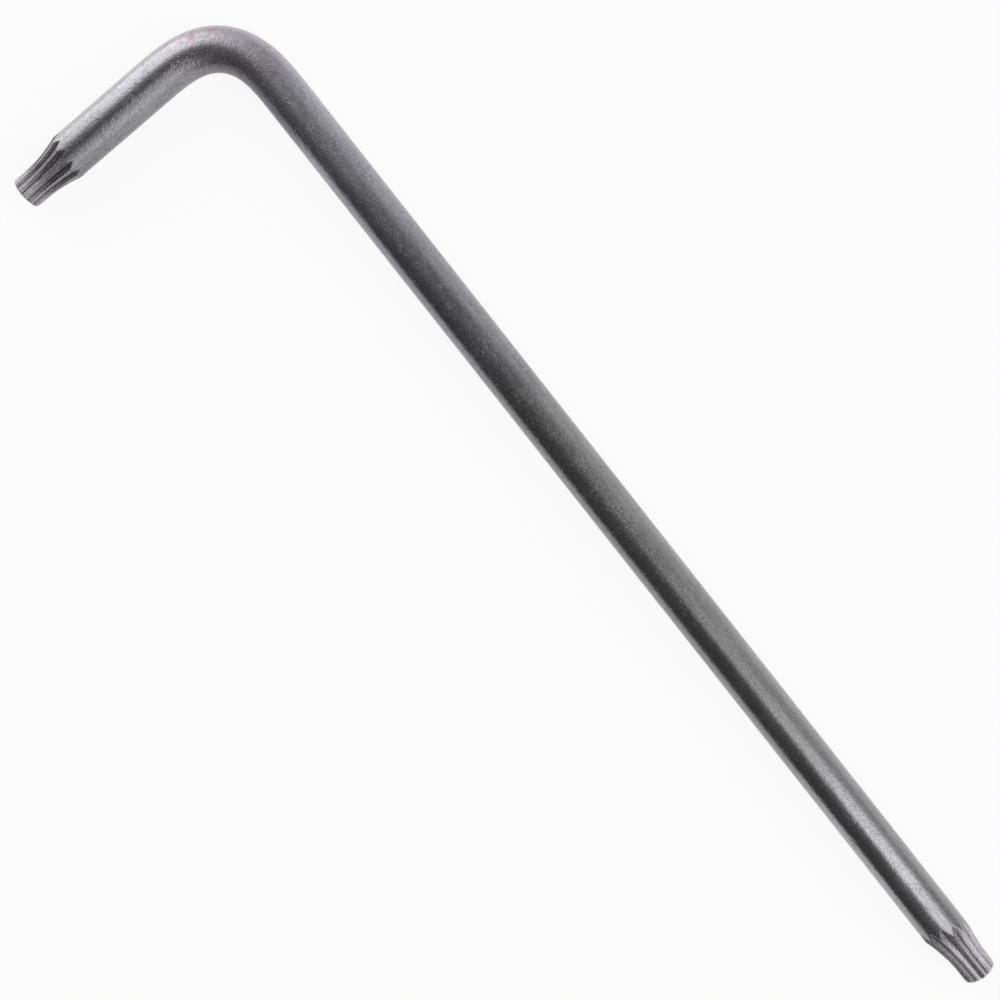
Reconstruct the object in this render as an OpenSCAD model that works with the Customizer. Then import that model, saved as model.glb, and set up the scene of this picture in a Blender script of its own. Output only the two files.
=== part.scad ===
// Star key: a round steel bar bent to a right angle, with a twelve-point star ground on the tip of each arm.
// It lies flat as it would on a bench: the long arm runs along +X, the short arm along -Y,
// and the origin is on the bench under the middle of the key's outline.

/* [Bar] */
// Diameter of the round bar
bar_d = 11; // [9.5:0.5:14]
// Length of the long arm, from the outer side of the short arm to the end of the tip
long_arm_l = 298; // [120:0.5:480]
// Length of the short arm, from the outer side of the long arm to the end of the tip
short_arm_l = 70; // [60:0.5:140]

/* [Bend] */
// Radius of the bend, on its inner side
bend_inner_r = 11.5; // [4:0.5:22]

/* [Star] */
// Size of the star across opposite points, to which the neck is turned
star_across_points = 8; // [7.6:0.05:8.6]
// Size of the star across opposite grooves
star_across_grooves = 7; // [6.6:0.05:7.3]
// Turn of the star on the long arm, from a groove facing up, towards +Y
long_star_turn = 5.5; // [-15:0.5:15]
// Turn of the star on the short arm, from a groove facing up, towards +X
short_star_turn = 9.5; // [-15:0.5:15]

/* [Tips] */
// Length over which the star keeps its full depth, from the end of the tip
star_l = 2.9; // [1.6:0.1:8]
// Radius on which the neck flares out to the bar and the grooves run out
flare_r = 38; // [24:0.5:50]
// Radius of the rounded edge at the end of a tip
tip_edge_r = 0.7; // [0.3:0.05:1]

/* [Hidden] */
$fn = 96;
// The flare is a short piece of a large circle, so it takes more sides
FLARE_SIDES = 360;

// The bar, its bend and the reach of each arm, measured from where the two axes cross
bar_r = bar_d / 2;
bend_r = bend_inner_r + bar_r;
long_reach = long_arm_l - bar_r;
short_reach = short_arm_l - bar_r;

// The star is twelve V-grooves side by side, half a pitch from each groove to the points on its two sides
POINTS = 12;
half_pitch = 180 / POINTS;
star_r = star_across_points / 2;
groove_floor_r = star_across_grooves / 2;
// The turned neck trims this much off the sharp points, which leaves a narrow land on each
POINT_TRIM = 0.06;
sharp_r = star_r + POINT_TRIM;

// The flare starts a little after the grooves start to run out, so the lands widen towards the bar
FLARE_LAG = 0.3;
flare_start = star_l + FLARE_LAG;
flare_rise = bar_r - star_r;
flare_end = flare_start + sqrt(flare_r * flare_r - pow(flare_r - flare_rise, 2));
// A wheel lifts straight out of its groove, so on this radius the points beside it rise with the flare
runout_r = flare_r * cos(half_pitch);
groove_rise = bar_r - groove_floor_r;
groove_end = star_l + sqrt(runout_r * runout_r - pow(runout_r - groove_rise, 2));
// A plain round shoulder follows, twice as long as the grooves run on past the flare
tip_l = groove_end + 2 * (groove_end - flare_end);

// The grinding wheel's floor keeps to an arc about this axis once it leaves the straight star
wheel_axis = groove_floor_r + runout_r;
runout_angle = acos(1 - groove_rise / runout_r);
// How far the wheel reaches past the metal, and how far it turns on after leaving it
CUT_PAST = 1;
TURN_PAST = 3;
wheel_edge = bar_r + CUT_PAST;

// The neck is turned first: star size at the end, then a hollow flare out to the bar
module neck_profile() {
    difference() {
        square([bar_r, tip_l]);
        translate([star_r, -CUT_PAST]) square([wheel_edge, flare_start + CUT_PAST]);
        translate([star_r + flare_r, flare_start]) circle(r = flare_r, $fn = FLARE_SIDES);
        difference() {
            translate([star_r - tip_edge_r, -CUT_PAST]) square([wheel_edge, tip_edge_r + CUT_PAST]);
            translate([star_r - tip_edge_r, tip_edge_r]) circle(r = tip_edge_r);
        }
    }
}

// What the wheel's rim fills: the V of one groove, from its floor up to the points, and the room outside it
module groove_profile() {
    point_at = sharp_r * [cos(half_pitch), sin(half_pitch)];
    edge_at = wheel_edge * [1, tan(half_pitch)];
    polygon([
        [groove_floor_r, 0],
        point_at,
        edge_at,
        [edge_at[0], -edge_at[1]],
        [point_at[0], -point_at[1]]
    ]);
}

// What one pass of the wheel takes away: straight along the star, then out on its arc
module wheel_pass() {
    translate([0, 0, -CUT_PAST]) linear_extrude(star_l + CUT_PAST) groove_profile();
    translate([wheel_axis, 0, star_l]) rotate([90, 0, 180])
        rotate_extrude(angle = runout_angle + TURN_PAST)
            translate([wheel_axis, 0]) mirror([1, 0]) groove_profile();
}

// A tip that stands on its end, with a groove towards +X
module star_tip() {
    difference() {
        rotate([0, 0, half_pitch / 2]) rotate_extrude() neck_profile();
        for (k = [0 : POINTS - 1]) {
            rotate([0, 0, 2 * half_pitch * k]) wheel_pass();
        }
    }
}

// Carries the crossing of the two axes to its place over the bench
module in_place() {
    translate([-(long_arm_l - bar_d) / 2, (short_arm_l - bar_d) / 2, bar_r]) children();
}

module long_arm() {
    color("#4a4a4c") in_place()
        translate([bend_r, 0, 0]) rotate([0, 90, 0])
            cylinder(r = bar_r, h = long_reach - tip_l - bend_r);
}

module bend() {
    color("#4a4a4c") in_place()
        translate([bend_r, -bend_r, 0]) rotate([0, 0, 90])
            rotate_extrude(angle = 90) translate([bend_r, 0]) circle(r = bar_r);
}

module short_arm() {
    color("#4a4a4c") in_place()
        translate([0, -bend_r, 0]) rotate([90, 0, 0])
            cylinder(r = bar_r, h = short_reach - tip_l - bend_r);
}

module long_star_tip() {
    color("#6b6b6e") in_place()
        translate([long_reach, 0, 0]) rotate([0, -90, 0])
            rotate([0, 0, long_star_turn]) star_tip();
}

// A quarter turn takes the star onto itself, so its grooves face up here as they do on the long arm
module short_star_tip() {
    color("#6b6b6e") in_place()
        translate([0, -short_reach, 0]) rotate([-90, 0, 0])
            rotate([0, 0, short_star_turn]) star_tip();
}

long_arm();
bend();
short_arm();
long_star_tip();
short_star_tip();
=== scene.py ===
"""Star key: one round steel bar, bent to a right angle, with a twelve-point star ground on the tip of each arm."""

import logging
import math
from dataclasses import dataclass, field
from enum import Enum, auto
from typing import Any, Mapping

import bpy
import numpy as np
from mathutils import Matrix, Vector


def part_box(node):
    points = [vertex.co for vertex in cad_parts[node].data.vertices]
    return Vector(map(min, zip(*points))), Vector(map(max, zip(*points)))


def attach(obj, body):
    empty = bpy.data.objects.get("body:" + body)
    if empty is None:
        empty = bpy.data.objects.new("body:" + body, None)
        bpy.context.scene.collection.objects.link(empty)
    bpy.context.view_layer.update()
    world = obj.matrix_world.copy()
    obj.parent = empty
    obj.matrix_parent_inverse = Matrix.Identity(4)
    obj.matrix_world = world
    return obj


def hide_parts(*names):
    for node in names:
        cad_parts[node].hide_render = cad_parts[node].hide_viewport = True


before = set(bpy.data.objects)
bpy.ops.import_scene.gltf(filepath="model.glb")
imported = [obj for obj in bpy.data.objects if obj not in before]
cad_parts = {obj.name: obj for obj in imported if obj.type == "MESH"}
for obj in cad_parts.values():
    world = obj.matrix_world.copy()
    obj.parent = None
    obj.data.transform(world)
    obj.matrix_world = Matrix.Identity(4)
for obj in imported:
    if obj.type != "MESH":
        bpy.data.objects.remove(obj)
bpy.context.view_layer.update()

LOG = logging.getLogger("star_key")
MM = 0.001
MIX_SHARE, MIX_FIRST, MIX_SECOND, MIX_RESULT = 0, 6, 7, 2

Colour = tuple[float, float, float, float]
Span = tuple[float, float]
Triple = tuple[float, float, float]


class Arm(Enum):
    """The two arms of the key, by the sign of the way along the bar from the middle of the bend."""

    LONG = 1
    SHORT = -1


class Mark(Enum):
    """The values that every mesh carries for its finish."""

    STRAIGHT = "straight"
    CUT = "cut"
    DEPTH = "depth"
    FACE = "face"
    WORN = "worn"


class Layer(Enum):
    """What a finish is made of: zones of the key, each from 0 to 1, and random patterns."""

    NEAR_BEND = auto()
    IN_BEND = auto()
    COOL = auto()
    SMOOTH = auto()
    HANDLED = auto()
    # On the bar, a painted highlight near the long arm's end; on a tip, bare steel where it is worn.
    WORN = auto()
    ON_SHORT = auto()
    # A painted highlight on the outer side of the short arm and of the long tip; below it, painted shade on the short
    # arm's inner side.
    PAINTED_LIGHT_SIDE = auto()
    SHADED = auto()
    # A painted highlight along the outer side of the bend and the long arm.
    PAINTED_RIM_LIGHT = auto()
    # Painted shade on the inner side of the bend.
    PAINTED_BEND_SHADE = auto()
    COARSE = auto()
    COARSE_BEND = auto()
    PATCHES = auto()
    CLOUDS = auto()
    GRAIN = auto()
    MOTTLE = auto()
    LINES = auto()
    STREAKS = auto()
    SPECKS = auto()
    PITS = auto()
    BROAD = auto()
    RINGS = auto()
    RIDGE = auto()
    # Depth in a groove and its floor; both darken a tip as painted shade.
    DEPTH = auto()
    SHADED_FLOOR = auto()
    BURR = auto()


class Value:
    """A node's socket; arithmetic on it adds Math nodes to its graph."""

    def __init__(self, graph: "Graph", socket: bpy.types.NodeSocket) -> None:
        """Keep the graph and the socket."""
        self.graph = graph
        self.socket = socket

    def _math(self, operation: str, *terms: "Value | float") -> "Value":
        """Add one Math node on the given terms."""
        return self.graph.node("ShaderNodeMath", {"operation": operation}, dict(enumerate(terms)))

    def __add__(self, other: "Value | float") -> "Value":
        """Add a number or a socket."""
        return self._math("ADD", self, other)

    __radd__ = __add__

    def __sub__(self, other: "Value | float") -> "Value":
        """Take a number or a socket away."""
        return self._math("SUBTRACT", self, other)

    def __rsub__(self, other: "Value | float") -> "Value":
        """Take this socket away from a number."""
        return self._math("SUBTRACT", other, self)

    def __mul__(self, other: "Value | float") -> "Value":
        """Multiply by a number or a socket."""
        return self._math("MULTIPLY", self, other)

    __rmul__ = __mul__

    def __pow__(self, other: "Value | float") -> "Value":
        """Raise this socket to a power."""
        return self._math("POWER", self, other)

    def __rpow__(self, other: float) -> "Value":
        """Raise a number to the power of this socket."""
        return self._math("POWER", other, self)

    def largest(self, other: "Value | float") -> "Value":
        """Take the larger of the two."""
        return self._math("MAXIMUM", self, other)

    def size(self) -> "Value":
        """Drop the sign."""
        return self._math("ABSOLUTE", self)

    def ramp(self, start: float, end: float) -> "Value":
        """Ease from 0 at start to 1 at end, by a smooth step."""
        limits = {"Value": self, "From Min": start, "From Max": end}
        return self.graph.node("ShaderNodeMapRange", {"interpolation_type": "SMOOTHSTEP"}, limits)

    def near(self, middle: float, reach: Span) -> "Value":
        """Give 1 up to the first distance from a middle, easing to 0 at the second."""
        return 1.0 - (self - middle).size().ramp(*reach)


class Graph:
    """The node tree of one finish or of the studio's light."""

    def __init__(self, tree: bpy.types.NodeTree) -> None:
        """Empty the tree and keep it."""
        tree.nodes.clear()
        self.tree = tree

    def node(
        self,
        kind: str,
        settings: Mapping[str, Any] | None = None,
        inputs: Mapping[str | int, Any] | None = None,
        output: str | int = 0,
    ) -> Value:
        """Add a node.

        Args:
            kind: The node's type.
            settings: Properties of the node, which are set first.
            inputs: Numbers, colours or linked sockets, by socket name or place.
            output: The socket to hand back, by name or place.

        Returns:
            The chosen output, or the first input of a node that has no output.
        """
        made = self.tree.nodes.new(kind)
        for name, setting in (settings or {}).items():
            setattr(made, name, setting)
        for key, given in (inputs or {}).items():
            if isinstance(given, Value):
                self.tree.links.new(given.socket, made.inputs[key])
            else:
                made.inputs[key].default_value = given
        return Value(self, made.outputs[output] if len(made.outputs) else made.inputs[0])

    def mark(self, mark: Mark) -> Value:
        """Read a value that the mesh carries: a vector for the straight place, a number for the others."""
        output = "Vector" if mark is Mark.STRAIGHT else "Fac"
        return self.node("ShaderNodeAttribute", {"attribute_name": mark.value}, {}, output)

    def ray(self, kind: str) -> Value:
        """Tell whether light is followed for a ray of this kind."""
        return self.node("ShaderNodeLightPath", {}, {}, kind)

    def vector(self, operation: str, *terms: "Value | Triple", output: str = "Vector") -> Value:
        """Add one Vector Math node on the given terms."""
        return self.node("ShaderNodeVectorMath", {"operation": operation}, dict(enumerate(terms)), output)

    def stretched(self, place: Value, scale: Triple) -> Value:
        """Multiply a place by a scale for each axis."""
        return self.vector("MULTIPLY", place, scale)

    def axis(self, place: Value, name: str) -> Value:
        """Take one axis of a place."""
        return self.node("ShaderNodeSeparateXYZ", {}, {0: place}, name)

    def millimetres(self) -> Value:
        """Read the place on the bar before it was bent, in millimetres: X up, Y outwards, Z along."""
        return self.stretched(self.mark(Mark.STRAIGHT), (1 / MM, 1 / MM, 1 / MM))

    def noise(self, place: Value, detail: float, rough: float) -> Value:
        """Smooth random tones about 0.5, one feature to each unit of place."""
        inputs = {"Vector": place, "Scale": 1.0, "Detail": detail, "Roughness": rough}
        return self.node("ShaderNodeTexNoise", {}, inputs)

    def blend(self, share: Value, first: "Value | Colour", second: "Value | Colour") -> Value:
        """Mix two colours by a share."""
        return self._mix("MIX", share, first, second)

    def tinted(self, share: Value, colour: Value, tint: Colour) -> Value:
        """Multiply a colour by a tint, by a share."""
        return self._mix("MULTIPLY", share, colour, tint)

    def _mix(self, way: str, share: Value, first: "Value | Colour", second: "Value | Colour") -> Value:
        """Add one Mix node for colours, whose sockets share their names with those for numbers and go by place."""
        inputs = {MIX_SHARE: share, MIX_FIRST: first, MIX_SECOND: second}
        return self.node("ShaderNodeMix", {"data_type": "RGBA", "blend_type": way}, inputs, MIX_RESULT)


@dataclass(frozen=True)
class Surface:
    """What a finish feeds to the shader: colour, metal share, roughness, and height in millimetres."""

    colour: Value
    metal: Value
    roughness: Value
    height: Value


@dataclass(frozen=True)
class Pattern:
    """A random pattern: features to the millimetre on each axis of the straight bar, and how fine they break up."""

    scale: Triple
    detail: float = 2.0
    rough: float = 0.6

    def tones(self, graph: Graph, place: Value) -> Value:
        """Smooth random tones about 0.5, at a place in millimetres."""
        return graph.noise(graph.stretched(place, self.scale), self.detail, self.rough)

    def swing(self, graph: Graph, place: Value) -> Value:
        """The same tones about 0."""
        return self.tones(graph, place) - 0.5


@dataclass(frozen=True)
class Recipe:
    """A base value, and the weight of each layer that is added to it."""

    base: float
    weights: tuple[tuple[Layer, float], ...]

    def mixed(self, layers: Mapping[Layer, Value]) -> Value:
        """Mix the layers.

        Args:
            layers: The layers of a finish.

        Returns:
            The base plus each layer times its weight.
        """
        total: Value | float = self.base
        for layer, weight in self.weights:
            total = total + layers[layer] * weight
        return total


@dataclass(frozen=True)
class PaintTrace:
    """A worn fleck of marking paint at one place on the bar, in millimetres along it and degrees round it."""

    along: float
    around: float
    reach: float
    raggedness: float = 3.0
    edge: Span = (0.4, 1.1)

    def mask(self, graph: Graph, place: Value, bar_r: float, ragged: Value) -> Value:
        """Show where paint is left.

        Args:
            graph: The finish's nodes.
            place: The straight place, in millimetres.
            bar_r: Radius of the bar, in millimetres.
            ragged: Noise about 0 that breaks up the fleck's edge.

        Returns:
            1 inside the fleck and 0 outside: distance from the middle, roughened by noise, cut at the reach.
        """
        turn = math.radians(self.around)
        middle = (bar_r * math.cos(turn), bar_r * math.sin(turn), self.along)
        away = graph.vector("DISTANCE", place, middle, output="Value")
        start, end = (share * self.reach for share in self.edge)
        return 1.0 - (away + ragged * (self.raggedness * self.reach)).ramp(start, end)


@dataclass(frozen=True)
class BlackenedSteel:
    """Heat-blackened bar: satin metal with a blasted grain, bright specks and draw lines, with painted highlights and
    painted shade in places.

    Spans along the bar are in millimetres from the middle of the bend, positive on the long arm. Spans named outer
    or inner are shares of the radius towards the outer or the inner side of the bend. A span eases from 0 to 1.
    """

    dark: Colour = (0.168, 0.167, 0.171, 1.0)
    light: Colour = (0.432, 0.430, 0.440, 1.0)
    temper: Colour = (1.0, 0.985, 1.07, 1.0)
    blush: Colour = (1.04, 0.992, 1.0, 1.0)
    # Tint of the painted highlight on the short arm's outer side.
    painted_light_tint: Colour = (1.22, 1.235, 1.19, 1.0)
    # Tint of the painted highlight along the outer side of the bend and the long arm.
    painted_rim_tint: Colour = (1.2, 1.2, 1.19, 1.0)
    paint: Colour = (0.42, 0.165, 0.21, 1.0)
    paint_left: float = 0.45
    paint_dulls: float = 0.6
    traces: tuple[PaintTrace, ...] = (PaintTrace(-5.8, 30.5, 1.25), PaintTrace(-1.7, 42.5, 1.3))

    bend_zone: Span = (16.0, 80.0)
    bend_core: Span = (9.0, 20.0)
    cool_middle: float = 32.0
    cool_reach: Span = (16.0, 96.0)
    short_side: Span = (3.0, -11.0)
    # Painted shade on the inner side of the bend: its middle along the bar and its reach.
    bend_shade_middle: float = 12.5
    bend_shade_reach: Span = (6.0, 24.0)
    smooth_end: Span = (110.0, 205.0)
    # Painted highlight near the long arm's end, kept off the band that stays dark.
    highlight_end: float = 248.0
    highlight_reach: Span = (8.0, 36.0)

    handled_outer: Span = (0.9, 0.4)
    # Across the bar, the band that stays dark and keeps out the painted highlight.
    unlit_band_inner: tuple[Span, Span] = ((0.12, 0.36), (0.72, 0.52))
    unlit_band_kept: float = 0.9
    # Painted highlight on the short arm's outer side, and painted shade on its inner side.
    painted_light_outer: Span = (0.36, 0.78)
    shaded_inner: Span = (0.75, 1.0)
    # Painted highlight along the outer side of the bend and the long arm.
    painted_rim_outer: Span = (0.72, 0.95)
    # Painted shade on the inner side of the bend.
    bend_shade_inner: Span = (0.4, 0.9)
    coarse_inner: Span = (0.35, 0.75)
    cool_outer: Span = (0.5, 0.1)
    cool_on_short: float = 0.55
    cool_in_highlight: float = 0.4

    patches: Pattern = Pattern((0.42, 0.42, 0.30))
    patch_step: Span = (0.36, 0.66)
    clouds: Pattern = Pattern((0.20, 0.20, 0.06), detail=3.0)
    grain: Pattern = Pattern((3.3, 3.3, 3.3), detail=1.0)
    mottle: Pattern = Pattern((1.25, 1.25, 1.0))
    lines: Pattern = Pattern((2.1, 2.1, 0.09))
    streaks: Pattern = Pattern((0.5, 0.5, 3.4), detail=1.0)
    specks: Pattern = Pattern((3.4, 3.4, 3.4), detail=0.0, rough=0.5)
    speck_step: Span = (0.68, 0.79)
    pits: Pattern = Pattern((2.4, 2.4, 2.0), detail=0.0, rough=0.5)
    pit_step: Span = (0.32, 0.23)
    ragged: Pattern = Pattern((2.0, 2.0, 2.0), rough=0.7)

    coverage: Recipe = Recipe(0.55, ((Layer.PATCHES, 0.8),))
    strength: Recipe = Recipe(1.0, ((Layer.NEAR_BEND, 0.25), (Layer.SMOOTH, -0.35), (Layer.WORN, 0.35)))
    # The tone holds painted highlights near the long arm's end and on the short arm's outer side, and painted shade on
    # the short arm's inner side and on the bend's inner side.
    tone: Recipe = Recipe(0.41, (
        (Layer.NEAR_BEND, 0.27), (Layer.WORN, 0.22), (Layer.CLOUDS, 0.5), (Layer.LINES, 0.28), (Layer.MOTTLE, 0.6),
        (Layer.GRAIN, 0.5), (Layer.STREAKS, 0.5), (Layer.SPECKS, 0.3), (Layer.PITS, -0.3), (Layer.PAINTED_LIGHT_SIDE, 0.3),
        (Layer.SHADED, -0.3), (Layer.PAINTED_BEND_SHADE, -0.85),
    ))
    tone_span: Span = (-0.12, 1.12)
    roughness: Recipe = Recipe(0.215, (
        (Layer.CLOUDS, 0.08), (Layer.MOTTLE, 0.12), (Layer.SPECKS, 0.34), (Layer.PITS, 0.14), (Layer.COARSE, 0.06),
        (Layer.COARSE_BEND, 0.05), (Layer.HANDLED, -0.045), (Layer.ON_SHORT, -0.04),
    ))
    height: Recipe = Recipe(0.0, (
        (Layer.GRAIN, 0.036), (Layer.MOTTLE, 0.050), (Layer.LINES, 0.008), (Layer.STREAKS, 0.03),
    ))

    def zones(self, along: Value, outer: Value) -> dict[Layer, Value]:
        """Tell the zones of the bar apart.

        Args:
            along: Way along the bar, in millimetres.
            outer: Share of the radius towards the outer side of the bend.

        Returns:
            Each zone from 0 to 1, an eased span along the bar, one across it, or their product.
        """
        inner = 0.0 - outer
        near_bend = along.near(0.0, self.bend_zone)
        coarse = inner.ramp(*self.coarse_inner)
        handled = outer.ramp(*self.handled_outer) * along.near(self.highlight_end, self.highlight_reach)
        rise, fall = self.unlit_band_inner
        # Painted highlight near the long arm's end, kept off the band that stays dark.
        worn = handled * (1.0 - inner.ramp(*rise) * inner.ramp(*fall) * self.unlit_band_kept)
        on_short = along.ramp(*self.short_side)
        cool = along.near(self.cool_middle, self.cool_reach).largest(worn * self.cool_in_highlight)
        return {
            Layer.NEAR_BEND: near_bend,
            Layer.IN_BEND: along.near(0.0, self.bend_core),
            Layer.COOL: cool.largest(on_short * outer.ramp(*self.cool_outer) * self.cool_on_short),
            Layer.SMOOTH: along.ramp(*self.smooth_end),
            Layer.HANDLED: handled,
            Layer.WORN: worn,
            Layer.ON_SHORT: on_short,
            # Painted highlight on the short arm's outer side, and painted shade on its inner side.
            Layer.PAINTED_LIGHT_SIDE: on_short * outer.ramp(*self.painted_light_outer),
            Layer.SHADED: on_short * inner.ramp(*self.shaded_inner),
            # Painted highlight along the outer side of the bend and the long arm.
            Layer.PAINTED_RIM_LIGHT: (1.0 - on_short) * outer.ramp(*self.painted_rim_outer),
            # Painted shade on the inner side of the bend.
            Layer.PAINTED_BEND_SHADE: inner.ramp(*self.bend_shade_inner) * along.near(self.bend_shade_middle, self.bend_shade_reach),
            Layer.COARSE: coarse,
            Layer.COARSE_BEND: coarse * near_bend,
        }

    def patterned(self, graph: Graph, place: Value, zones: Mapping[Layer, Value]) -> dict[Layer, Value]:
        """Add the random patterns to the zones.

        Args:
            graph: The finish's nodes.
            place: The straight place, in millimetres.
            zones: The zones of the bar.

        Returns:
            The zones and the patterns; grain, mottle, specks and pits are as strong as patches and zones let them be.
        """
        layers = {**zones, Layer.PATCHES: self.patches.tones(graph, place).ramp(*self.patch_step)}
        strength = self.coverage.mixed(layers) * self.strength.mixed(layers)
        return {
            **layers,
            Layer.CLOUDS: self.clouds.swing(graph, place),
            Layer.LINES: self.lines.swing(graph, place),
            Layer.STREAKS: zones[Layer.IN_BEND] * self.streaks.swing(graph, place),
            Layer.GRAIN: strength * self.grain.swing(graph, place),
            Layer.MOTTLE: strength * self.mottle.swing(graph, place),
            Layer.SPECKS: strength * self.specks.tones(graph, place).ramp(*self.speck_step),
            Layer.PITS: strength * self.pits.tones(graph, place).ramp(*self.pit_step),
        }

    def painted(self, graph: Graph, place: Value, bar_r: float) -> Value:
        """Show how much paint is left.

        Args:
            graph: The finish's nodes.
            place: The straight place, in millimetres.
            bar_r: Radius of the bar, in millimetres.

        Returns:
            The largest of the flecks' masks, times the share that wear left.
        """
        ragged = self.ragged.swing(graph, place)
        left, *others = (trace.mask(graph, place, bar_r, ragged) for trace in self.traces)
        for other in others:
            left = left.largest(other)
        return left * self.paint_left

    def surface(self, graph: Graph, bar_r: float) -> Surface:
        """Work out the finish.

        Args:
            graph: The finish's nodes.
            bar_r: Radius of the bar, in millimetres.

        Returns:
            Tones summed from zones and noises in the straight place of the bar: lighter and cooler towards the bend,
            with a painted highlight near the long arm's end, where handling also leaves it smoother, streaks across the
            bend, painted shade on the bend's inner side, a painted highlight along the outer side of the bend and the
            long arm, and on the short arm a painted highlight on its outer side and painted shade on its inner side;
            then flecks of paint over all.
        """
        place = graph.millimetres()
        zones = self.zones(graph.axis(place, "Z"), graph.axis(place, "Y") * (1.0 / bar_r))
        layers = self.patterned(graph, place, zones)
        metal = graph.blend(self.tone.mixed(layers).ramp(*self.tone_span), self.dark, self.light)
        for zone, tint in (
            (Layer.COOL, self.temper),
            (Layer.IN_BEND, self.blush),
            # Painted highlight on the short arm's outer side.
            (Layer.PAINTED_LIGHT_SIDE, self.painted_light_tint),
            # Painted highlight along the outer side of the bend and the long arm.
            (Layer.PAINTED_RIM_LIGHT, self.painted_rim_tint),
        ):
            metal = graph.tinted(zones[zone], metal, tint)
        painted = self.painted(graph, place, bar_r)
        return Surface(
            colour=graph.blend(painted, metal, self.paint),
            metal=1.0 - painted * self.paint_dulls,
            roughness=self.roughness.mixed(layers),
            height=self.height.mixed(layers),
        )


@dataclass(frozen=True)
class GroundSteel:
    """Ground tip: barer steel with grinding lines along the grooves and bright points, with painted shade deepening
    into the grooves and darkest at their floors, and a painted highlight on the long tip's outer flank.

    Spans named floor and burr are shares of a groove's depth, from the land beside it to its floor.
    """

    bar: BlackenedSteel
    dark: Colour = (0.074, 0.069, 0.076, 1.0)
    light: Colour = (0.620, 0.592, 0.636, 1.0)

    lines: Pattern = Pattern((6.5, 6.5, 0.30))
    broad: Pattern = Pattern((2.6, 2.6, 0.14))
    rings: Pattern = Pattern((4.5, 0.0, 0.0))
    grain: Pattern = Pattern((3.6, 3.6, 3.0), detail=1.0)

    long_side: Span = (-1.0, 1.0)
    # Painted highlight on the long tip's outer flank.
    painted_light_outer: Span = (0.42, 0.68)
    ridge_power: float = 6.0
    # Where a groove's floor is darkened as painted shade.
    floor: Span = (0.78, 1.0)
    burr: tuple[Span, Span] = ((0.03, 0.10), (0.30, 0.16))

    # Painted shade deepens into the grooves and is darkest at their floors; a painted highlight lights the long tip's
    # outer flank.
    tone: Recipe = Recipe(0.40, (
        (Layer.WORN, 0.36), (Layer.LINES, 1.0), (Layer.BROAD, 0.6), (Layer.GRAIN, 1.2), (Layer.RIDGE, 0.30),
        (Layer.DEPTH, -0.14), (Layer.SHADED_FLOOR, -0.42), (Layer.BURR, -0.26), (Layer.PAINTED_LIGHT_SIDE, 0.22),
    ))
    tone_span: Span = (0.0, 1.1)
    roughness: Recipe = Recipe(0.45, ((Layer.LINES, 0.14), (Layer.GRAIN, 0.10), (Layer.SHADED_FLOOR, 0.12)))
    height: Recipe = Recipe(0.0, (
        (Layer.LINES, 0.026), (Layer.RINGS, 0.03), (Layer.GRAIN, 0.03), (Layer.BROAD, 0.016),
    ))

    def layers(self, graph: Graph, bar_r: float) -> dict[Layer, Value]:
        """Work out what the ground steel is made of.

        Args:
            graph: The finish's nodes.
            bar_r: Radius of the bar, in millimetres.

        Returns:
            Lines by turn and way along, as if the tip were as wide as the bar all along, so that they follow the
            grooves; rings by distance from the axis on the end's face; and zones by depth in a groove.
        """
        place = graph.millimetres()
        depth = graph.mark(Mark.DEPTH)
        face = graph.mark(Mark.FACE)
        across = graph.stretched(place, (1.0, 1.0, 0.0))
        spoke = graph.vector("NORMALIZE", across)
        rolled = graph.vector("MULTIPLY_ADD", spoke, (bar_r, bar_r, 0.0), graph.stretched(place, (0.0, 0.0, 1.0)))
        from_axis = graph.node("ShaderNodeCombineXYZ", {}, {"X": graph.vector("LENGTH", across, output="Value")})
        lines = self.lines.swing(graph, rolled)
        rings = self.rings.swing(graph, from_axis)
        outer = graph.axis(place, "Y") * (1.0 / bar_r)
        rise, fall = self.burr
        return {
            Layer.WORN: graph.mark(Mark.WORN),
            Layer.LINES: lines + face * (rings - lines),
            Layer.RINGS: face * rings,
            Layer.BROAD: self.broad.swing(graph, rolled),
            Layer.GRAIN: self.grain.swing(graph, place),
            Layer.RIDGE: (1.0 - depth) ** self.ridge_power,
            # Painted shade, by depth in a groove and at its floor.
            Layer.DEPTH: depth,
            Layer.SHADED_FLOOR: depth.ramp(*self.floor),
            Layer.BURR: depth.ramp(*rise) * depth.ramp(*fall),
            # Painted highlight on the long tip's outer flank.
            Layer.PAINTED_LIGHT_SIDE: graph.axis(place, "Z").ramp(*self.long_side) * outer.ramp(*self.painted_light_outer),
        }

    def surface(self, graph: Graph, bar_r: float) -> Surface:
        """Work out the finish.

        Args:
            graph: The finish's nodes.
            bar_r: Radius of the bar, in millimetres.

        Returns:
            The bar's own finish where the wheel never touched it, and ground steel by the share of cut.
        """
        under = self.bar.surface(graph, bar_r)
        layers = self.layers(graph, bar_r)
        cut = graph.mark(Mark.CUT)
        ground = graph.blend(self.tone.mixed(layers).ramp(*self.tone_span), self.dark, self.light)
        return Surface(
            colour=graph.blend(cut, under.colour, ground),
            metal=under.metal,
            roughness=under.roughness + cut * (self.roughness.mixed(layers) - under.roughness),
            height=under.height + cut * (self.height.mixed(layers) - under.height),
        )


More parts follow.
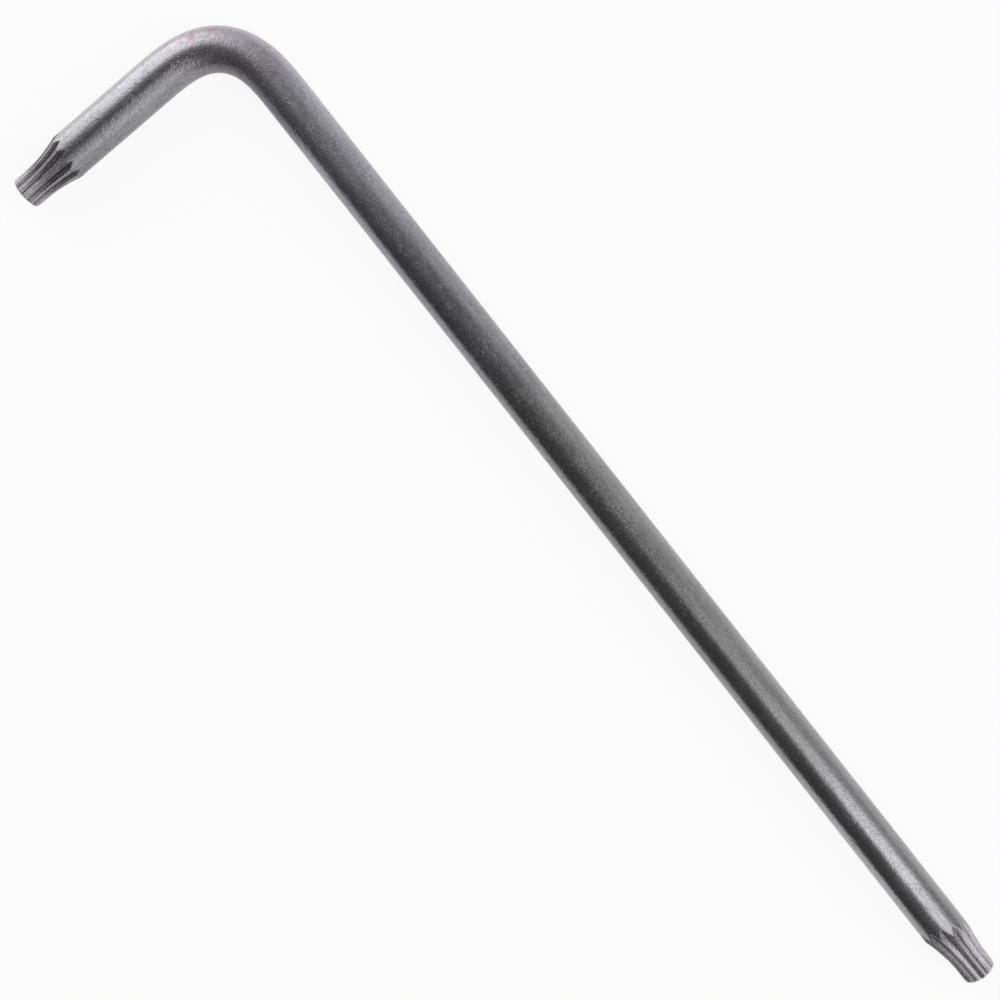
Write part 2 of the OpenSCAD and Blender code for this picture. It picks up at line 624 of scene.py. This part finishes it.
@dataclass(frozen=True)
class Dresser:
    """Makes Blender materials from the finishes, for a bar of a radius in metres."""

    bar_r: float

    def material(self, name: str, finish: BlackenedSteel | GroundSteel) -> bpy.types.Material:
        """Make one material.

        Args:
            name: The material's name.
            finish: The finish to dress it in.

        Returns:
            A metal shader fed by the finish, its height through a Bump node.
        """
        made = bpy.data.materials.new(name)
        made.use_nodes = True
        graph = Graph(made.node_tree)
        surface = finish.surface(graph, self.bar_r / MM)
        bump = {"Strength": 1.0, "Distance": MM, "Height": surface.height}
        feeds = {
            "Base Color": surface.colour,
            "Metallic": surface.metal,
            "Roughness": surface.roughness,
            "Normal": graph.node("ShaderNodeBump", {}, bump, "Normal"),
        }
        shader = graph.node("ShaderNodeBsdfPrincipled", {}, feeds)
        graph.node("ShaderNodeOutputMaterial", {}, {"Surface": shader})
        return made


@dataclass
class Shape:
    """A closed surface as arrays: points, four- and three-cornered faces, and the marks of each point."""

    points: np.ndarray
    quads: np.ndarray
    triangles: np.ndarray
    marks: dict[Mark, np.ndarray]
    crease: float = 40.0

    def mesh(self, name: str, finish: bpy.types.Material) -> bpy.types.Mesh:
        """Put the arrays into a mesh.

        Args:
            name: The mesh's name.
            finish: The mesh's material.

        Returns:
            The mesh, smooth but for edges that turn by more than the crease in degrees, with its marks as point
            attributes.
        """
        made = bpy.data.meshes.new(name)
        made.from_pydata(self.points.tolist(), [], self.quads.tolist() + self.triangles.tolist())
        made.shade_smooth()
        made.set_sharp_from_angle(angle=math.radians(self.crease))
        for mark, values in self.marks.items():
            kind, key = ("FLOAT_VECTOR", "vector") if values.ndim == 2 else ("FLOAT", "value")
            attribute = made.attributes.new(mark.value, kind, "POINT")
            attribute.data.foreach_set(key, values.ravel().astype(np.float32))
        made.validate()
        made.materials.append(finish)
        return made


@dataclass
class BarPath:
    """The centre line: straight along both arms, with a bend whose curvature eases in and out."""

    corner: np.ndarray
    bar_r: float
    reach: float = 26.0 * MM
    steps: int = 2000
    table: dict[str, np.ndarray] = field(default_factory=dict)

    def __post_init__(self) -> None:
        """Tabulate the bend.

        Curvature is a raised cosine, most in the middle and nothing at both ends. Its running sum is the heading,
        from +Y on the short arm to +X on the long arm, and the running sum of the heading is the place. The whole is
        scaled until each end is one reach from the arms' crossing.
        """
        way = np.linspace(-1.0, 1.0, 2 * self.steps + 1)
        step = 1.0 / self.steps
        curvature = 0.5 + 0.5 * np.cos(np.pi * way)
        turned = self._running(curvature, step)
        heading = 0.5 * np.pi * (1.0 - turned / turned[-1])
        x, y = self._running(np.cos(heading), step), self._running(np.sin(heading), step)
        scale = self.reach / x[-1]
        self.table = {
            "way": way * scale,
            "heading": heading,
            "x": x * scale + self.corner[0],
            "y": y * scale + self.corner[1] - self.reach,
            "curvature": curvature,
        }

    @staticmethod
    def _running(values: np.ndarray, step: float) -> np.ndarray:
        """Sum values from the start, by the rule of trapezia."""
        return np.concatenate([[0.0], np.cumsum(0.5 * step * (values[1:] + values[:-1]))])

    @property
    def half(self) -> float:
        """Half the length of the bend along its centre line."""
        return float(self.table["way"][-1])

    def way_at(self, arm: Arm, from_corner: float) -> float:
        """Give the way along the bar at a distance from the crossing of the two arms."""
        return arm.value * (from_corner - self.reach + self.half)

    def at(self, way: np.ndarray) -> tuple[np.ndarray, np.ndarray, np.ndarray]:
        """Find places on the centre line.

        Args:
            way: Distances along the bar from the middle of the bend, positive on the long arm.

        Returns:
            The places, the directions out of the bend in its plane, and the share of full curvature.
        """
        table = self.table
        heading = np.interp(way, table["way"], table["heading"])
        past = way - np.clip(way, -self.half, self.half)
        x = np.interp(way, table["way"], table["x"]) + past * np.cos(heading)
        y = np.interp(way, table["way"], table["y"]) + past * np.sin(heading)
        places = np.stack([x, y, np.full_like(x, self.corner[2])], -1)
        outward = np.stack([-np.sin(heading), np.cos(heading), np.zeros_like(x)], -1)
        bent = np.interp(way, table["way"], table["curvature"], left=0.0, right=0.0)
        return places, outward, bent

    def skin(
        self, way: np.ndarray, turn: np.ndarray, radius: np.ndarray, squeeze: float = 0.0
    ) -> tuple[np.ndarray, np.ndarray]:
        """Carry a section along the path.

        Args:
            way: Distances along the bar, one for each row.
            turn: Angles round the bar from straight up towards the outer side of the bend, by column or by row and
                column.
            radius: Radius for each row and column.
            squeeze: Share by which the bend narrows the bar in its plane.

        Returns:
            The points, centre + radius * (cos(turn) * up + sin(turn) * outward), with the outward part narrowed
            where the path is curved, and the same points on the bar before it was bent.
        """
        places, outward, bent = self.at(way)
        rise = radius * np.cos(turn)
        side = radius * np.sin(turn)
        narrowed = side * (1.0 - squeeze * bent)[:, None]
        points = places[:, None, :] + narrowed[..., None] * outward[:, None, :]
        points[..., 2] += rise
        straight = np.stack([rise, side, np.broadcast_to(way[:, None], rise.shape)], -1)
        return points, straight


def closed_tube(grid: np.ndarray, straight: np.ndarray, others: Mapping[Mark, np.ndarray]) -> Shape:
    """Close a grid of rings into a solid.

    Args:
        grid: Points by row along the bar and column round it; the last column joins the first.
        straight: The same points on the bar before it was bent.
        others: More marks, by row and column.

    Returns:
        The rings joined by quads, with a fan of triangles to the mean point of the first and last ring.
    """
    rows, columns = grid.shape[:2]
    index = np.arange(rows * columns).reshape(rows, columns)
    following = np.roll(index, -1, axis=1)
    quads = np.stack([index[:-1], index[1:], following[1:], following[:-1]], -1).reshape(-1, 4)
    first, last = rows * columns, rows * columns + 1
    start = np.stack([np.full(columns, first), index[0], following[0]], -1)
    end = np.stack([np.full(columns, last), following[-1], index[-1]], -1)

    def with_poles(values: np.ndarray) -> np.ndarray:
        """Append the mean of the first ring and of the last ring."""
        rings = values.reshape(rows, columns, -1)
        both = np.concatenate([rings.reshape(rows * columns, -1), rings[[0, -1]].mean(1)])
        return both if values.ndim == 3 else both[:, 0]

    marks = {mark: with_poles(values) for mark, values in {Mark.STRAIGHT: straight, **others}.items()}
    return Shape(with_poles(grid), quads, np.concatenate([start, end]), marks)


@dataclass
class BentBar:
    """The bar between the tips: long arm, bend and short arm, three zones of one path."""

    path: BarPath
    squeeze: float = 0.015
    columns: int = 144
    arm_step: float = 2.0 * MM
    bend_step: float = 0.25 * MM

    def zone(self, start: float, end: float, step: float) -> Shape:
        """Make one zone.

        Args:
            start: Where it starts along the bar, from the middle of the bend.
            end: Where it ends.
            step: Length of a row of faces.

        Returns:
            A round section carried along the path, closed by flat ends.
        """
        way = np.linspace(start, end, max(2, round((end - start) / step)) + 1)
        turn = np.linspace(0.0, 2.0 * np.pi, self.columns, endpoint=False)
        radius = np.full((way.size, turn.size), self.path.bar_r)
        points, straight = self.path.skin(way, turn, radius, self.squeeze)
        return closed_tube(points, straight, {})

    def build(self, name: str, ends: Span, finish: bpy.types.Material) -> bpy.types.Object:
        """Make the piece of one zone.

        Args:
            name: The node that it stands for.
            ends: Where the zone starts and ends along the bar.
            finish: The bar's material.

        Returns:
            The piece.
        """
        step = self.bend_step if name == "bend" else self.arm_step
        return bpy.data.objects.new(f"{name}_bar", self.zone(*ends, step).mesh(name, finish))


@dataclass
class StarTip:
    """A tip: twelve V-grooves, straight at the end, that run out on an arc through the flare of the neck.

    Depths count from the end. The lean sets the star off the bar's axis outwards from the bend, and the drop downwards.
    """

    path: BarPath
    arm: Arm
    end: float
    length: float
    groove_turn: float
    twist: float
    lean: float
    drop: float = 0.0
    star_r: float = 4.0 * MM
    floor_r: float = 3.5 * MM
    sharp_r: float = 4.06 * MM
    edge_r: float = 0.7 * MM
    star_l: float = 2.9 * MM
    flare_start: float = 3.2 * MM
    flare_r: float = 38.0 * MM
    wheel_r: float = 41.0 * MM
    wear: float = 0.04 * MM
    worn: Span = (9.0 * MM, 16.0 * MM)
    points: int = 12

    columns_per_point: int = 32
    crowding: float = 0.10
    edge_rows: int = 12
    star_rows: int = 8
    runout_rows: int = 83
    face_rings: int = 6
    face_start: float = 0.15
    face_depth: float = 0.25
    full_cut: float = 0.06 * MM
    least_room: float = 0.12 * MM

    @property
    def half_pitch(self) -> float:
        """Angle from a groove to the point beside it."""
        return math.pi / self.points

    def neck(self, depth: np.ndarray) -> np.ndarray:
        """Radius of the turned neck.

        Args:
            depth: Distances from the end, one for each row.

        Returns:
            A rounded edge, star - edge + root of (edge squared - the depth left in the edge squared), then a cylinder,
            then a hollow flare, which adds flare - root of (flare squared - the depth past its start squared).
        """
        edge = np.clip(self.edge_r - depth, 0.0, self.edge_r)
        rounded = self.star_r - self.edge_r + np.sqrt(self.edge_r**2 - edge**2)
        past = np.clip(depth - self.flare_start, 0.0, None)
        return rounded + self.flare_r - np.sqrt(self.flare_r**2 - past**2)

    def groove(self, depth: np.ndarray, off: np.ndarray) -> np.ndarray:
        """Radius of the V-groove.

        Args:
            depth: Distances from the end, one for each row.
            off: Angles from the nearest groove, one for each column.

        Returns:
            The straight flank from the groove's floor to the sharp point, (floor + lift) / (cos - sin / slope),
            where the lift of the wheel is its radius less the root of its square less that of the way past the star.
        """
        half = self.half_pitch
        slope = self.sharp_r * math.sin(half) / (self.sharp_r * math.cos(half) - self.floor_r)
        past = np.clip(depth - self.star_l, 0.0, None)
        lift = self.wheel_r - np.sqrt(self.wheel_r**2 - past**2)
        return (self.floor_r + lift)[:, None] / (np.cos(off) - np.sin(off) / slope)[None, :]

    def least(self, first: np.ndarray, second: np.ndarray) -> np.ndarray:
        """Take the smaller radius, worn round: half of the sum less the root of difference and wear, both squared."""
        return 0.5 * (first + second - np.sqrt((first - second) ** 2 + self.wear**2))

    def rows(self) -> np.ndarray:
        """Set out the rows.

        Returns:
            Their depths: even angles round the end's edge, then even steps along the star and along the run-out.
        """
        edge = self.edge_r * (1.0 - np.cos(np.linspace(0.0, 0.5 * np.pi, self.edge_rows)))
        star = np.linspace(self.edge_r, self.star_l, self.star_rows + 1)[1:]
        runout = np.linspace(self.star_l, self.length, self.runout_rows + 1)[1:]
        return np.concatenate([edge, star, runout])

    def turns(self) -> tuple[np.ndarray, np.ndarray]:
        """Set out the columns.

        Returns:
            Their angles, crowded by a sine towards grooves and points, and their angles from the nearest groove.
        """
        count = self.columns_per_point
        share = np.arange(count) / count * 2.0 - 1.0
        eased = (share - self.crowding * np.sin(2.0 * np.pi * share)) * self.half_pitch
        middle = np.repeat(np.arange(self.points) * 2.0 * self.half_pitch, count)
        return middle + np.tile(eased, self.points) + self.groove_turn, np.tile(np.abs(eased), self.points)

    def shape(self) -> Shape:
        """Make the tip.

        Returns:
            Radius by depth and turn, the least of neck, groove and bar, with neck and groove set off the bar's axis by
            the lean times the sine of the turn less the drop times its cosine. The columns turn by the twist from the
            end to the shoulder, as on a key that was pulled hard, and rings cross the end's face.
            Marks tell how much was ground away, how deep in a groove a point lies and how far the tip is worn bare.
        """
        depth = self.rows()
        turn, off = self.turns()
        turn = turn[None, :] + self.twist * (depth / self.length)[:, None]
        bar = np.full(turn.shape, self.path.bar_r)
        shift = self.lean * np.sin(turn) - self.drop * np.cos(turn)
        neck = self.neck(depth)[:, None] + shift
        radius = self.least(self.least(neck, self.groove(depth, off) + shift), bar)
        cut = np.clip((bar - radius) / self.full_cut, 0.0, 1.0)
        land = np.minimum(neck, bar)
        room = land - self.groove(depth, np.zeros(1)) - shift
        deep = np.clip((land - radius) / np.maximum(room, self.least_room), 0.0, 1.0)

        face = np.linspace(self.face_start, 1.0, self.face_rings + 1)[:-1, None] * radius[0][None, :]
        radius = np.concatenate([face, radius])
        turn = np.concatenate([np.broadcast_to(turn[0], face.shape), turn])
        depth = np.concatenate([np.zeros(face.shape[0]), depth])
        cut = np.concatenate([np.ones_like(face), cut])
        deep = np.concatenate([np.full_like(face, self.face_depth), deep])
        flat = np.concatenate([np.ones_like(face), np.zeros_like(bar)])
        fade = np.clip((depth - self.worn[0]) / (self.worn[1] - self.worn[0]), 0.0, 1.0)
        worn = np.broadcast_to((1.0 - fade)[:, None], flat.shape)

        way = self.arm.value * (self.path.way_at(Arm.LONG, self.end) - depth)
        order = slice(None, None, -self.arm.value)
        points, straight = self.path.skin(way[order], turn[order], radius[order])
        marks = {Mark.CUT: cut[order], Mark.DEPTH: deep[order], Mark.FACE: flat[order], Mark.WORN: worn[order]}
        return closed_tube(points, straight, marks)

    def build(self, name: str, finish: bpy.types.Material) -> bpy.types.Object:
        """Make the tip's piece in its material."""
        return bpy.data.objects.new(f"{name}_ground", self.shape().mesh(name, finish))


@dataclass(frozen=True)
class SoftBox:
    """A soft light seen from the key: direction in degrees, spread of its edge and strength."""

    azimuth: float
    height: float
    tightness: float
    strength: float

    @property
    def direction(self) -> Triple:
        """The unit vector towards the light."""
        turn, rise = math.radians(self.azimuth), math.radians(self.height)
        return math.cos(rise) * math.cos(turn), math.cos(rise) * math.sin(turn), math.sin(rise)


@dataclass(frozen=True)
class Viewpoint:
    """Where the camera stands: its lens, its right and back, and its place from the arms' crossing.

    Lens, sensor and place are in millimetres.
    """

    lens: float = 55.37
    sensor: float = 36.0
    nearest: float = 10.0 * MM
    right: Triple = (0.62017, 0.78022, -0.08183)
    back: Triple = (-0.04552, 0.13992, 0.98912)
    from_corner: Triple = (112.225, 31.863, 367.28)

    def camera(self, corner: np.ndarray) -> bpy.types.Object:
        """Make the camera, which looks down on the key from over the bend's side of the bench.

        Args:
            corner: Where the axes of the two arms cross.

        Returns:
            The camera, with the long arm running to the lower right of the picture; its back is squared to its right.
        """
        lens = bpy.data.cameras.new("camera")
        lens.lens = self.lens
        lens.sensor_width = self.sensor
        lens.clip_start = self.nearest
        right = Vector(self.right).normalized()
        back = Vector(self.back)
        back = (back - right * back.dot(right)).normalized()
        turned = Matrix((right, back.cross(right), back)).transposed().to_4x4()
        made = bpy.data.objects.new("camera", lens)
        made.matrix_world = Matrix.Translation(Vector(corner) + Vector(self.from_corner) * MM) @ turned
        return made


@dataclass(frozen=True)
class Studio:
    """A pale floor and soft boxes round the bench."""

    boxes: tuple[SoftBox, ...] = (
        SoftBox(46.1, 44.3, 26.2, 2.126),
        SoftBox(-171.5, -8.6, 14.7, 2.114),
        SoftBox(19.3, 63.5, 47.5, 1.946),
        SoftBox(30.9, 12.8, 21.6, 1.592),
        SoftBox(-8.2, 30.6, 13.9, 1.069),
        SoftBox(173.5, 38.2, 8.3, 1.063),
        SoftBox(-173.1, 51.2, 103.2, 0.995),
        SoftBox(157.7, 0.0, 3.4, 0.846),
        SoftBox(87.8, 13.6, 12.5, 0.803),
        SoftBox(-4.2, 12.7, 88.5, 0.750),
        SoftBox(-172.1, 30.1, 32.5, 0.733),
        SoftBox(103.7, 41.2, 48.1, 0.236),
    )
    fill: float = 0.11
    floor_half: float = 4.0
    floor_glow: float = 0.90
    floor_tone: Colour = (0.9, 0.9, 0.9, 1.0)
    white: Colour = (1.0, 1.0, 1.0, 1.0)

    def floor(self) -> bpy.types.Object:
        """Make the floor.

        Returns:
            A square at the level of the bench: pale and matt, and near white as background and in reflections.
        """
        corners = self.floor_half * np.array([[-1.0, -1.0, 0.0], [1.0, -1.0, 0.0], [1.0, 1.0, 0.0], [-1.0, 1.0, 0.0]])
        mesh = bpy.data.meshes.new("floor")
        mesh.from_pydata(corners.tolist(), [], [[0, 1, 2, 3]])
        made = bpy.data.materials.new("floor")
        made.use_nodes = True
        graph = Graph(made.node_tree)
        background = graph.ray("Is Camera Ray").largest(graph.ray("Is Glossy Ray"))
        background = background.largest(graph.ray("Is Transmission Ray"))
        matt = graph.node("ShaderNodeBsdfDiffuse", {}, {"Color": self.floor_tone})
        glow = graph.node("ShaderNodeEmission", {}, {"Color": self.white, "Strength": 1.0})
        both = graph.node("ShaderNodeMixShader", {}, {0: background * self.floor_glow, 1: matt, 2: glow})
        graph.node("ShaderNodeOutputMaterial", {}, {"Surface": both})
        mesh.materials.append(made)
        return bpy.data.objects.new("floor", mesh)

    def light(self) -> bpy.types.World:
        """Make the light.

        Returns:
            A world whose strength is an even fill plus, for each soft box, its strength times
            exp(tightness * (cosine of the angle from its direction - 1)); the camera itself sees white.
        """
        world = bpy.data.worlds.new("studio")
        world.use_nodes = True
        graph = Graph(world.node_tree)
        direction = graph.node("ShaderNodeTexCoord", {}, {}, "Generated")
        total: Value | float = self.fill
        for box in self.boxes:
            cosine = graph.vector("DOT_PRODUCT", direction, box.direction, output="Value")
            total = total + math.e ** ((cosine - 1.0) * box.tightness) * box.strength
        soft = graph.node("ShaderNodeBackground", {}, {"Color": self.white, "Strength": total})
        plain = graph.node("ShaderNodeBackground", {}, {"Color": self.white, "Strength": 1.0})
        both = graph.node("ShaderNodeMixShader", {}, {0: graph.ray("Is Camera Ray"), 1: soft, 2: plain})
        graph.node("ShaderNodeOutputWorld", {}, {"Surface": both})
        return world


def place_piece(piece: bpy.types.Object, node: str) -> None:
    """Put a piece in the scene in place of a node.

    Args:
        piece: The piece, with its place in its mesh.
        node: The node that it stands for.
    """
    bpy.context.scene.collection.objects.link(piece)
    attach(piece, "root")
    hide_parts(node)
    LOG.info("%s: %d faces in place of %s", piece.name, len(piece.data.polygons), node)


def build_key() -> np.ndarray:
    """Build the key's five pieces where the frame has their nodes.

    Returns:
        Where the axes of the two arms cross.
    """
    long_lo, long_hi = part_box("long_arm")
    short_lo, short_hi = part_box("short_arm")
    long_tip_lo, long_tip_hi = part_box("long_star_tip")
    short_tip_lo, short_tip_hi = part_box("short_star_tip")
    bar_r = 0.5 * (long_hi.z - long_lo.z)
    corner = 0.5 * np.array([short_lo.x + short_hi.x, long_lo.y + long_hi.y, long_lo.z + long_hi.z])
    path = BarPath(corner, bar_r)

    long_start, long_end = (path.way_at(Arm.LONG, at.x - corner[0]) for at in (long_lo, long_hi))
    short_start, short_end = (path.way_at(Arm.SHORT, corner[1] - at.y) for at in (short_hi, short_lo))
    zones = {
        "long_arm": (long_start, long_end),
        "bend": (short_start, long_start),
        "short_arm": (short_end, short_start),
    }
    tips = {
        "long_star_tip": StarTip(
            path, Arm.LONG, end=long_tip_hi.x - corner[0], length=long_tip_hi.x - long_tip_lo.x,
            groove_turn=math.radians(4.5), twist=math.radians(-8.0), lean=0.45 * MM, drop=0.4 * MM,
            star_r=4.25 * MM, floor_r=3.75 * MM, sharp_r=4.31 * MM, flare_start=2.7 * MM, wheel_r=44.5 * MM,
        ),
        "short_star_tip": StarTip(
            path, Arm.SHORT, end=corner[1] - short_tip_lo.y, length=short_tip_hi.y - short_tip_lo.y,
            groove_turn=math.radians(-11.0), twist=math.radians(10.0), lean=-0.25 * MM, worn=(2.0 * MM, 7.5 * MM),
        ),
    }

    bar_finish = BlackenedSteel()
    dresser = Dresser(bar_r)
    blackened = dresser.material("blackened_steel", bar_finish)
    ground = dresser.material("ground_steel", GroundSteel(bar_finish))
    bar = BentBar(path)
    for node, ends in zones.items():
        place_piece(bar.build(node, ends, blackened), node)
    for node, tip in tips.items():
        place_piece(tip.build(node, ground), node)
    return corner


def main() -> None:
    """Build the key, the bench, the light and the camera."""
    logging.basicConfig(level=logging.INFO, format="%(name)s: %(message)s")
    scene = bpy.context.scene
    scene.view_settings.view_transform = "Standard"

    corner = build_key()
    studio = Studio()
    floor = studio.floor()
    scene.collection.objects.link(floor)
    scene.world = studio.light()
    scene.camera = Viewpoint().camera(corner)
    scene.collection.objects.link(scene.camera)

    bpy.context.view_layer.update()


if __name__ == "__main__":
    main()
